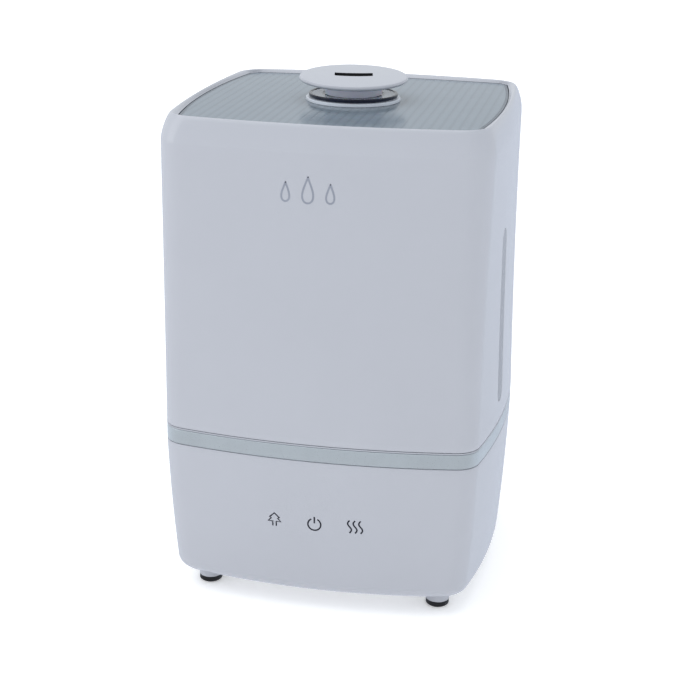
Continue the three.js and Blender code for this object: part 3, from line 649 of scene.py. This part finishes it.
# The panel's border bead takes the painted shade too.
panel.data.materials.append(RECESS_PAINTED_SHADE)
border_inside = panel_outline(PANEL_BORDER)
for face in panel.data.polygons:
    if not inside((face.center.x / MM, face.center.y / MM), border_inside):
        face.material_index = 1

# ---- Nozzle -------------------------------------------------------------------------------

collar = turned(
    "collar_ring",
    filleted(
        [
            (CHIMNEY_INNER, PANEL_TOP - 1 + GAP),
            (CHIMNEY_OUTER + 2, PANEL_TOP - 1 + GAP),
            (CHIMNEY_OUTER + 2, COLLAR_LOW),
            (COLLAR_RADIUS, COLLAR_LOW),
            (COLLAR_RADIUS - 0.1, DISH_LOW - GAP),
            (CHIMNEY_INNER, DISH_LOW - GAP),
        ],
        [0.2, 0.2, 0.1, 0.15, 0.5, 0.3],
    ),
)
finished(collar, FROST_AND_PAINTED_LIGHT, "tank", "collar_frost", "nozzle_collar")

dish = turned(
    "dish_ring",
    filleted(
        [
            (NECK_FOOT_RADIUS - 4, DISH_LOW - 5),
            (CHIMNEY_INNER - GAP, DISH_LOW - 5),
            (CHIMNEY_INNER - GAP, DISH_LOW),
            (DISH_RADIUS - 0.3, DISH_LOW),
            (DISH_RADIUS, DISH_HIGH),
            (DISH_RADIUS - 1.5, DISH_HIGH),
            (DISH_RADIUS - 2, DISH_HIGH - 0.5),
            (NECK_FOOT_RADIUS + 1.6, DISH_HIGH - 0.5),
            (NECK_FOOT_RADIUS + 0.6, DISH_HIGH - 1.2),
            (NECK_FOOT_RADIUS - 2, DISH_HIGH - 1.2),
            (NECK_FOOT_RADIUS - 2, DISH_LOW - 3),
            (NECK_FOOT_RADIUS - 4, DISH_LOW - 3),
        ],
        [0.3, 0.3, 0, 0.5, 0.5, 0.3, 0.2, 0.3, 0.2, 0.2, 0, 0.2],
    ),
)
finished(dish, SMOKED, "dish", "smoked_clear", "nozzle_dish")
dish.data.materials.append(SMOKED_EDGE)
for face in dish.data.polygons:
    reach = math.hypot(face.center.x, face.center.y)
    if reach > (DISH_RADIUS - 1.2) * MM and face.center.z > DISH_LOW * MM:
        face.material_index = 1


SLOT_END_STEPS = 12
SLOT_CORNER = 1.2


def slot_cutter():
    centre = SLOT_RADIUS - SLOT_WIDTH / 2
    half = math.asin(SLOT_LENGTH / 2 / SLOT_RADIUS)
    outline = []
    for radius, side in ((SLOT_RADIUS, 1), (SLOT_RADIUS - SLOT_WIDTH, -1)):
        for i in range(2 * SLOT_END_STEPS + 1):
            angle = -math.pi / 2 + side * half * (i / SLOT_END_STEPS - 1)
            outline.append((SLOT_RADIUS * math.cos(angle), centre + radius * math.sin(angle)))
    last = 2 * SLOT_END_STEPS
    corners = (0, last, last + 1, 2 * last + 1)
    outline = filleted(outline, [SLOT_CORNER if i in corners else 0 for i in range(len(outline))])
    return skin("slot_cutter", [flat_ring(outline, z) for z in (DISC_LOW - 3, DISC_LOW + 8)])


def nozzle_head():
    top = DISC_LOW + DISC_THICK
    disc = turned(
        "disc",
        [(AXIS, DISC_LOW)]
        + filleted(
            [
                (1, DISC_LOW),
                (DISC_RADIUS - 1.6, DISC_LOW),
                (DISC_RADIUS, DISC_LOW + 1.2),
                (DISC_RADIUS - 1.1, top - 0.45),
                (DISC_RADIUS - 3.4, top - 0.3),
                (1, top),
            ],
            [0, 1.6, 1.0, 0.5, 1.2, 0],
            closed=False,
        )
        + [(AXIS, top)],
        closed=False,
        angle=50,
    )
    disc = boolean(disc, slot_cutter())
    pivot = Matrix.Translation((0, 0, DISC_LOW * MM))
    place(disc, pivot @ Matrix.Rotation(DISC_RAKE, 4, "X") @ pivot.inverted())
    neck = turned(
        "neck",
        [
            (NECK_FOOT_RADIUS - 1.8, DISH_HIGH - 0.9),
            (NECK_FOOT_RADIUS - 0.3, DISH_HIGH - 0.9),
            (NECK_FOOT_RADIUS, DISH_HIGH - 0.6),
            (NECK_FOOT_RADIUS + 0.3, DISH_HIGH + 2),
            (NECK_RADIUS - 0.4, DISC_LOW - 3),
            (NECK_RADIUS, DISC_LOW - 1.2),
            (NECK_RADIUS + 0.4, DISC_LOW + 1.2),
            (NECK_RADIUS - 1.8, DISC_LOW + 1.2),
        ],
    )
    whole = merge("nozzle_cap", [neck, disc])
    whole.data.transform(Matrix.Rotation(NOZZLE_TURN, 4, "Z"))
    return whole


head = finished(nozzle_head(), WHITE, "head", "shell_white", "nozzle_head")
head.data.materials.append(NOZZLE_PAINTED_SHADE)
head.data.materials.append(NECK_PAINTED_LIGHT)
SLOT_FAR = 16  # the slot's walls stand nearer to the axis than this
spin_back = Matrix.Rotation(-NOZZLE_TURN, 3, "Z")
# Material 1 is the painted shade inside the bore and the slot; material 2 is the neck's paler, glowing
# material, which is painted light.
for face in head.data.polygons:
    spot = spin_back @ face.center
    outward = (spin_back @ face.normal).normalized()
    reach = math.hypot(spot.x, spot.y)
    inward = outward.x * spot.x + outward.y * spot.y < 0
    inner_wall = reach < NECK_RADIUS * MM and inward and abs(outward.z) < 0.5
    slot_wall = reach < SLOT_FAR * MM and abs(outward.z) < 0.5
    below = reach < (NECK_RADIUS - 2) * MM and outward.z < -0.5
    if inner_wall or slot_wall or below:
        face.material_index = 1
    elif reach < (NECK_RADIUS + 1) * MM and spot.z < (DISC_LOW + 2) * MM and abs(outward.z) < 0.6:
        face.material_index = 2

# ---- Band and basin -----------------------------------------------------------------------


def seam_ring(inset, z):
    return body_ring(z, inset, outline_z=SEAM_LOW)


BAND_OUTER = 0.05  # insets of the band's two faces from the body's outline
BAND_INNER = 2.4
band_section = filleted(
    [
        (BAND_OUTER, SEAM_LOW + GAP),
        (BAND_OUTER, BAND_TOP),
        (BAND_INNER, BAND_TOP),
        (BAND_INNER, SEAM_LOW + GAP),
    ],
    [0.5, 0.6, 0.2, 0.2],
)
band = skin("band_trim", [seam_ring(inset, z) for inset, z in band_section], closed=True)
finished(band, SILVER, "base", "band_silver", "band_ring")


def basin():
    lip_low = SEAM_HIGH - LIP_THICK
    tub_floor = TUB_FLOOR + FLOOR_THICK
    lip = [(RIM_INSET, lip_low), (0, lip_low), (0, SEAM_HIGH), (TUB_INNER, SEAM_HIGH)]
    rings = [seam_ring(inset, z) for inset, z in filleted(lip, 0.25, closed=False)]
    tub = [(TUB_INNER, SEAM_HIGH), (TUB_INNER, tub_floor), (TUB_FLOOR_INSET, tub_floor)]
    tub = filleted(tub, [0, TUB_ROUND, 0], 8, closed=False)
    rings += [seam_ring(inset, z) for inset, z in tub]
    outline = body_outline(SEAM_LOW)
    well = filleted(
        [
            (WELL_RADIUS + 6, tub_floor),
            (WELL_RADIUS, tub_floor),
            (WELL_RADIUS, WELL_FLOOR + FLOOR_THICK),
            (WELL_BORE, WELL_FLOOR + FLOOR_THICK),
            (WELL_BORE, WELL_FLOOR),
            (WELL_RADIUS + TUB_WALL, WELL_FLOOR),
            (WELL_RADIUS + TUB_WALL, TUB_FLOOR),
        ],
        [0, 1.5, 3, 0.5, 0.3, 0.6, 0],
        closed=False,
    )
    rings += [round_ring(radius, z, outline) for radius, z in well]
    rings += [seam_ring(TUB_INSET, TUB_FLOOR), seam_ring(TUB_INSET, SEAM_LOW + 4)]
    rings.append(seam_ring(RIM_INSET, SEAM_LOW + 4))
    tub_piece = skin("basin_tub", rings, closed=True)
    hole = [(AIR_TUBE_OUTER - 1, TUB_FLOOR - 2), (AIR_TUBE_OUTER - 1, tub_floor + 2)]
    tub_piece = boolean(tub_piece, turned("air_hole", hole, closed=False, at=AIR))
    tube = turned(
        "air_tube",
        filleted(
            [
                (AIR_TUBE_OUTER, TUB_FLOOR),
                (AIR_TUBE_OUTER, AIR_TUBE_TOP),
                (AIR_TUBE_INNER, AIR_TUBE_TOP),
                (AIR_TUBE_INNER, TUB_FLOOR),
            ],
            [0, 0.8, 0.8, 0],
        ),
        at=AIR,
    )
    posts = []
    for name, at, top in (("pin", FILL_NECK, STEM_LOW - GAP), ("float_post", FLOAT, TUB_FLOOR + 32)):
        profile = [
            (AXIS, TUB_FLOOR),
            (POST_RADIUS, TUB_FLOOR),
            (POST_RADIUS, top - 0.6),
            (POST_RADIUS - 0.6, top),
            (AXIS, top),
        ]
        posts.append(turned(name, profile, steps=32, closed=False, at=at))
    return merge("basin_tub", [tub_piece, tube] + posts)


finished(basin(), WHITE, "base", "shell_white", "basin")

# ---- Base housing -------------------------------------------------------------------------


GLAND_PLACE = Matrix.Translation((GLAND_X * MM, GLAND_SEAT * MM, GLAND_Z * MM))
FACE_BACK = Matrix.Rotation(-math.pi / 2, 4, "X")
BOSS_BORE = 1.7
BOSS_RADIUS = 4.2
STUB_HIGH = LEDGE_HIGH - 0.5


def gland_hole():
    reach = 20
    profile = [
        (AXIS, -reach),
        (GLAND_HOLE, -reach),
        (GLAND_HOLE, 0),
        (GLAND_FLANGE + GAP, 0),
        (GLAND_FLANGE + GAP, reach),
        (AXIS, reach),
    ]
    return place(turned("gland_hole", profile, steps=64, closed=False), GLAND_PLACE @ FACE_BACK)


def foot_stub(spot):
    """The white stub of a foot, with a small flare where it meets the underside."""
    profile = filleted(
        [
            (1, PAD_HIGH),
            (STUB_RADIUS, PAD_HIGH),
            (STUB_RADIUS, UNDERSIDE - 0.2),
            (STUB_RADIUS + 1.6, UNDERSIDE + 0.4),
            (STUB_RADIUS, STUB_HIGH),
            (1, STUB_HIGH),
        ],
        [0, 0.5, 0.8, 0.3, 0, 0],
        closed=False,
    )
    profile = [(AXIS, PAD_HIGH)] + profile + [(AXIS, STUB_HIGH)]
    return turned("stub", profile, steps=64, closed=False, at=spot)


def cover_boss(spot):
    profile = [
        (BOSS_BORE, STUB_HIGH),
        (BOSS_RADIUS, STUB_HIGH),
        (BOSS_RADIUS, BOSS_HIGH),
        (BOSS_BORE, BOSS_HIGH),
    ]
    return turned("boss", profile, steps=32, at=spot)


def base_skin():
    round_foot = UNDERSIDE + BOTTOM_ROUND
    rings = []
    for share in steps_between(1, 0, 20):
        rings.append(body_ring(round_foot - BOTTOM_ROUND * math.sin(share * math.pi / 2)))
    rings += [body_ring(z) for z in steps_between(round_foot, SEAM_LOW - EDGE, 26)[1:]]
    rings.append(body_ring(SEAM_LOW - EDGE_MIDDLE, EDGE_MIDDLE))
    rings += [body_ring(SEAM_LOW, EDGE), body_ring(SEAM_LOW, WALL)]
    rings += [body_ring(z, WALL) for z in steps_between(SEAM_LOW, LEDGE_HIGH, 12)[1:]]
    ledge = square_outline(LEDGE_HALF, LEDGE_CORNER)
    recess = square_outline(COVER_HALF + GAP, COVER_CORNER)
    rings += [flat_ring(ledge, LEDGE_HIGH), flat_ring(ledge, COVER_HIGH + GAP)]
    rings += [flat_ring(recess, COVER_HIGH + GAP), flat_ring(recess, UNDERSIDE + 0.3)]
    rings.append(flat_ring(square_outline(COVER_HALF + GAP + 0.3, COVER_CORNER), UNDERSIDE))
    housing = skin("base_skin", rings, closed=True)
    parts = [boolean(housing, gland_hole())]
    for x in (-1, 1):
        for y in (-1, 1):
            parts.append(foot_stub((x * FOOT[0], y * FOOT[1])))
            parts.append(cover_boss((x * BOSS, y * BOSS)))
    return merge("base_skin", parts)


finished(base_skin(), WHITE, "base", "shell_white", "base_housing")

CORNERS = {
    "front_left": (-1, -1),
    "front_right": (1, -1),
    "rear_left": (-1, 1),
    "rear_right": (1, 1),
}
PAD_LOW = 0.02
PAD_PROFILE = [(AXIS, PAD_LOW)] + filleted(
    [
        (1, PAD_LOW),
        (PAD_RADIUS - 1.2, PAD_LOW),
        (PAD_RADIUS - 1.4, 0.5),
        (PAD_RADIUS - 0.7, 0.5),
        (PAD_RADIUS, 1.2),
        (PAD_RADIUS, PAD_HIGH - GAP),
        (1, PAD_HIGH - GAP),
    ],
    [0, 0.2, 0.1, 0.2, 0.4, 0.3, 0],
    closed=False,
) + [(AXIS, PAD_HIGH - GAP)]
SCREW_LOW = 8.4
SCREW_TIP = 27
SCREW_HEAD = 3.1
SCREW_SHANK = 1.4
SCREW_PROFILE = [(AXIS, SCREW_LOW)] + filleted(
    [
        (1, SCREW_LOW),
        (SCREW_HEAD - 0.7, SCREW_LOW + 0.1),
        (SCREW_HEAD, SCREW_LOW + 0.9),
        (SCREW_HEAD, UNDERSIDE),
        (SCREW_SHANK, UNDERSIDE),
        (SCREW_SHANK, SCREW_TIP - 1),
        (SCREW_SHANK - 1, SCREW_TIP),
    ],
    [0, 0.6, 0.3, 0.1, 0.1, 0.2, 0],
    closed=False,
) + [(AXIS, SCREW_TIP)]
BLADE_HALF = (1.9, 0.35)  # of one arm of a screw's cross recess
BLADE_ENDS = (8, 9.4)
for name, (side_x, side_y) in CORNERS.items():
    foot = (side_x * FOOT[0], side_y * FOOT[1])
    pad = turned("pad_" + name, PAD_PROFILE, steps=64, closed=False, at=foot)
    finished(pad, RUBBER, "base", "rubber_black", "foot_pad_" + name)
    spot = (side_x * BOSS, side_y * BOSS)
    screw = turned("screw_" + name, SCREW_PROFILE, steps=32, closed=False, at=spot)
    for turn in (0, math.pi / 2):
        blade = [(x * BLADE_HALF[0], y * BLADE_HALF[1]) for x, y in ((-1, -1), (1, -1), (1, 1), (-1, 1))]
        recess = skin("recess", [flat_ring(blade, z) for z in BLADE_ENDS])
        place(recess, Matrix.Translation((spot[0] * MM, spot[1] * MM, 0)) @ Matrix.Rotation(turn, 4, "Z"))
        screw = boolean(screw, recess)
    finished(screw, STEEL, "base", "steel", "cover_screw_" + name)

GLAND_INNER_END = -6  # along its axis, from the wall's outer face
GLAND_INNER_FLANGE = -4.3
GLAND_OUTER_END = 1.7
gland = turned(
    "gland_ring",
    filleted(
        [
            (GLAND_BORE, GLAND_INNER_END),
            (GLAND_FLANGE, GLAND_INNER_END),
            (GLAND_FLANGE, GLAND_INNER_FLANGE),
            (GLAND_HOLE - GAP, GLAND_INNER_FLANGE),
            (GLAND_HOLE - GAP, GAP),
            (GLAND_FLANGE, GAP),
            (GLAND_FLANGE - 0.4, GLAND_OUTER_END),
            (GLAND_BORE, GLAND_OUTER_END),
        ],
        [0.3, 0.4, 0.4, 0, 0, 0.1, 0.8, 0.5],
    ),
    steps=64,
)
place(gland, FACE_BACK)
place(gland, GLAND_PLACE)
finished(gland, RUBBER, "base", "rubber_black", "cord_gland")

# ---- Touch icons and the motif ------------------------------------------------------------

INK_PROUD = 0.05
INK_DEEP = 0.25


def stroke(points, width, closed=False):
    """The left and right sides of a line of a width along (x, z) points."""
    count = len(points)
    left = []
    right = []
    for i, here in enumerate(points):
        back = points[i - 1] if closed or i else here
        ahead = points[(i + 1) % count] if closed or i < count - 1 else here
        run = Vector((ahead[0] - back[0], ahead[1] - back[1])).normalized()
        side = Vector((-run.y, run.x)) * width / 2
        left.append((here[0] + side.x, here[1] + side.y))
        right.append((here[0] - side.x, here[1] - side.y))
    return left, right


def line_mesh(name, lines, width, x, z, material, body, slot):
    """Lines raised a hair above the front's surface, around (x, z)."""
    points = []
    faces = []
    for line, closed in lines:
        left, right = stroke(line, width, closed)
        start = len(points)
        count = len(line)
        for low, high in zip(left, right):
            for u, v in (low, high):
                for depth in (-INK_PROUD, INK_DEEP):
                    points.append((x + u, front_y(x + u, z + v) + depth, z + v))
        for i in range(count if closed else count - 1):
            a = start + 4 * i
            b = start + 4 * ((i + 1) % count)
            for p, q in ((0, 2), (2, 3), (3, 1), (1, 0)):
                faces.append((a + p, a + q, b + q, b + p))
        if not closed:
            faces.append((start, start + 1, start + 3, start + 2))
            last = start + 4 * (count - 1)
            faces.append((last, last + 2, last + 3, last + 1))
    piece = mesh_piece(name, points, faces)
    return finished(piece, material, body, slot)


def curve(start, end, steps, at):
    return [at(start + (end - start) * i / steps) for i in range(steps + 1)]


def tree_icon():
    left = [(-1.1, -4.6), (-1.1, -1.5), (-4.0, -1.5), (-1.9, 0.9), (-3.2, 1.1), (0, 4.3)]
    right = [(-u, v) for u, v in reversed(left[:-1])]
    return [(left + right, False)]


def power_icon():
    ring = curve(math.radians(118), math.radians(422), 40, lambda t: (4 * math.cos(t), 4 * math.sin(t) - 0.6))
    return [(ring, False), ([(0, 0.2), (0, 4.6)], False)]


def mist_icon():
    waves = []
    for middle in (-3.4, 0, 3.4):
        wave = curve(-4.3, 4.3, 24, lambda v, m=middle: (m - 1.15 * math.sin(v * math.pi / 4.3), v))
        waves.append((wave, False))
    return waves


ICONS = (("icon_ioniser", tree_icon()), ("icon_power", power_icon()), ("icon_mist", mist_icon()))
for i, (name, lines) in enumerate(ICONS):
    x = (i - 1) * ICON_PITCH + ICON_SHIFT
    line_mesh(name, lines, ICON_LINE, x, ICON_Z, INK, "base", "plastic_black")


def drop(x, z, size):
    """A water drop: a pointed top on a round belly."""
    points = []
    for i in range(48):
        turn = 2 * math.pi * i / 48
        point_up = math.sin(turn / 2) ** 1.6
        points.append((x + size * 0.62 * math.sin(turn) * point_up, z + size * math.cos(turn)))
    return points, True


DROPS = [drop(0, 0, 7.5)] + [drop(side * MOTIF_PITCH, -1.5, 5.5) for side in (-1, 1)]
line_mesh("drop_motif", DROPS, MOTIF_LINE, MOTIF_X, MOTIF_Z, PALE_INK, "tank", "panel_grey")

# ---- Finishes of the pieces inside --------------------------------------------------------

FINISHES = {
    INNER: ["bottom_cover", "air_duct", "float_stop", "tank_floor", "filler_cap", "valve_plunger"],
    CLEAR: ["mist_chimney"],
    SILICONE: ["transducer_seal", "chimney_gasket", "cap_seal", "valve_seal"],
    STEEL: ["fan_shaft", "transformer_core", "valve_spring"],
    ALUMINIUM: ["transducer_clamp", "driver_heat_sink"],
    BOARD: ["driver_board", "power_board", "touch_board"],
    BLACK: ["fan_frame", "fan_rotor", "ioniser_module", "smoothing_capacitor", "level_switch"],
    CERAMIC: ["transducer_disc"],
    COPPER: ["transformer_winding", "touch_pad_ioniser", "touch_pad_power", "touch_pad_mist"],
    FOAM: ["intake_filter", "float_ring"],
}
for material, names in FINISHES.items():
    for name in names:
        for slot in nodes[name].material_slots:
            slot.material = material

# ---- Floor, light and camera --------------------------------------------------------------

FLOOR_HALF = 12
floor_mesh = bpy.data.meshes.new("floor")
floor_corners = [(x * FLOOR_HALF, y * FLOOR_HALF, 0) for x, y in ((-1, -1), (1, -1), (1, 1), (-1, 1))]
floor_mesh.from_pydata(floor_corners, [], [(0, 1, 2, 3)])
floor = link("floor", floor_mesh)
floor_white = plastic("floor_white", (0.93, 0.93, 0.93), 0.6, tint=0.004, mottle=3, grain=200)
glow(floor_white, (1, 1, 1), 0.36)
floor.data.materials.append(floor_white)
floor.visible_glossy = False

# A pale studio. The floor stays out of the reflections, which see the world below the
# horizon instead: grey at the front and pale blue behind.
world = bpy.data.worlds.new("studio")
scene.world = world
world.use_nodes = True
studio = world.node_tree
sky = studio.nodes["Background"]
direction = studio.nodes.new("ShaderNodeTexCoord")
split = studio.nodes.new("ShaderNodeSeparateXYZ")
studio.links.new(direction.outputs["Generated"], split.inputs["Vector"])


def fade_between(socket, low, high):
    fade = studio.nodes.new("ShaderNodeMapRange")
    fade.inputs["From Min"].default_value = low
    fade.inputs["From Max"].default_value = high
    studio.links.new(split.outputs[socket], fade.inputs["Value"])
    return fade.outputs["Result"]


def mixed(share, low, high):
    mix = studio.nodes.new("ShaderNodeMix")
    mix.data_type = "RGBA"
    studio.links.new(share, mix.inputs["Factor"])
    for socket, value in ((mix.inputs[6], low), (mix.inputs[7], high)):
        if isinstance(value, tuple):
            socket.default_value = (*value, 1)
        else:
            studio.links.new(value, socket)
    return mix.outputs[2]


surround = mixed(fade_between("Y", -0.3, 0.6), (0.3, 0.3, 0.32), (0.66, 0.72, 0.84))
sky_color = mixed(fade_between("Z", -0.06, 0.06), surround, (0.73, 0.765, 0.8))
studio.links.new(sky_color, sky.inputs["Color"])


def lamp(name, kind, energy, aim):
    """A light that shines along aim."""
    light = bpy.data.lights.new(name, kind)
    light.energy = energy
    holder = bpy.data.objects.new(name, light)
    scene.collection.objects.link(holder)
    holder.rotation_euler = aim.to_track_quat("-Z", "Y").to_euler()
    return holder


KEY_PLACE = Vector((-1.8, -0.6, 1.0))
BODY_MIDDLE = Vector((0, 0, 0.15))
KEY_POWER = 5
key = lamp("key", "AREA", KEY_POWER, BODY_MIDDLE - KEY_PLACE)
key.location = KEY_PLACE
key.data.shape = "RECTANGLE"
key.data.size = 1.0
key.data.size_y = 1.6

overhead = lamp("overhead", "SUN", 1.0, Vector((0.25, -0.1, -1)))
overhead.data.angle = math.radians(70)

AZIMUTH = math.radians(11.056)
ELEVATION = math.radians(19.126)
ROLL = math.radians(0.917)
DISTANCE = 0.9657
LENS = 77.36
TARGET = Vector((-0.00469, 0, 0.14202))
back = Vector(
    (
        math.sin(AZIMUTH) * math.cos(ELEVATION),
        -math.cos(AZIMUTH) * math.cos(ELEVATION),
        math.sin(ELEVATION),
    )
)
right = Vector((math.cos(AZIMUTH), math.sin(AZIMUTH), 0))
up = back.cross(right)
camera_x = right * math.cos(ROLL) + up * math.sin(ROLL)
camera_y = up * math.cos(ROLL) - right * math.sin(ROLL)
camera = bpy.data.cameras.new("camera")
camera.lens = LENS
camera.sensor_width = 36
camera_object = bpy.data.objects.new("camera", camera)
scene.collection.objects.link(camera_object)
camera_object.matrix_world = Matrix.Translation(TARGET + back * DISTANCE) @ (
    Matrix((camera_x, camera_y, back)).transposed().to_4x4()
)
scene.camera = camera_object
scene.view_settings.view_transform = "Standard"
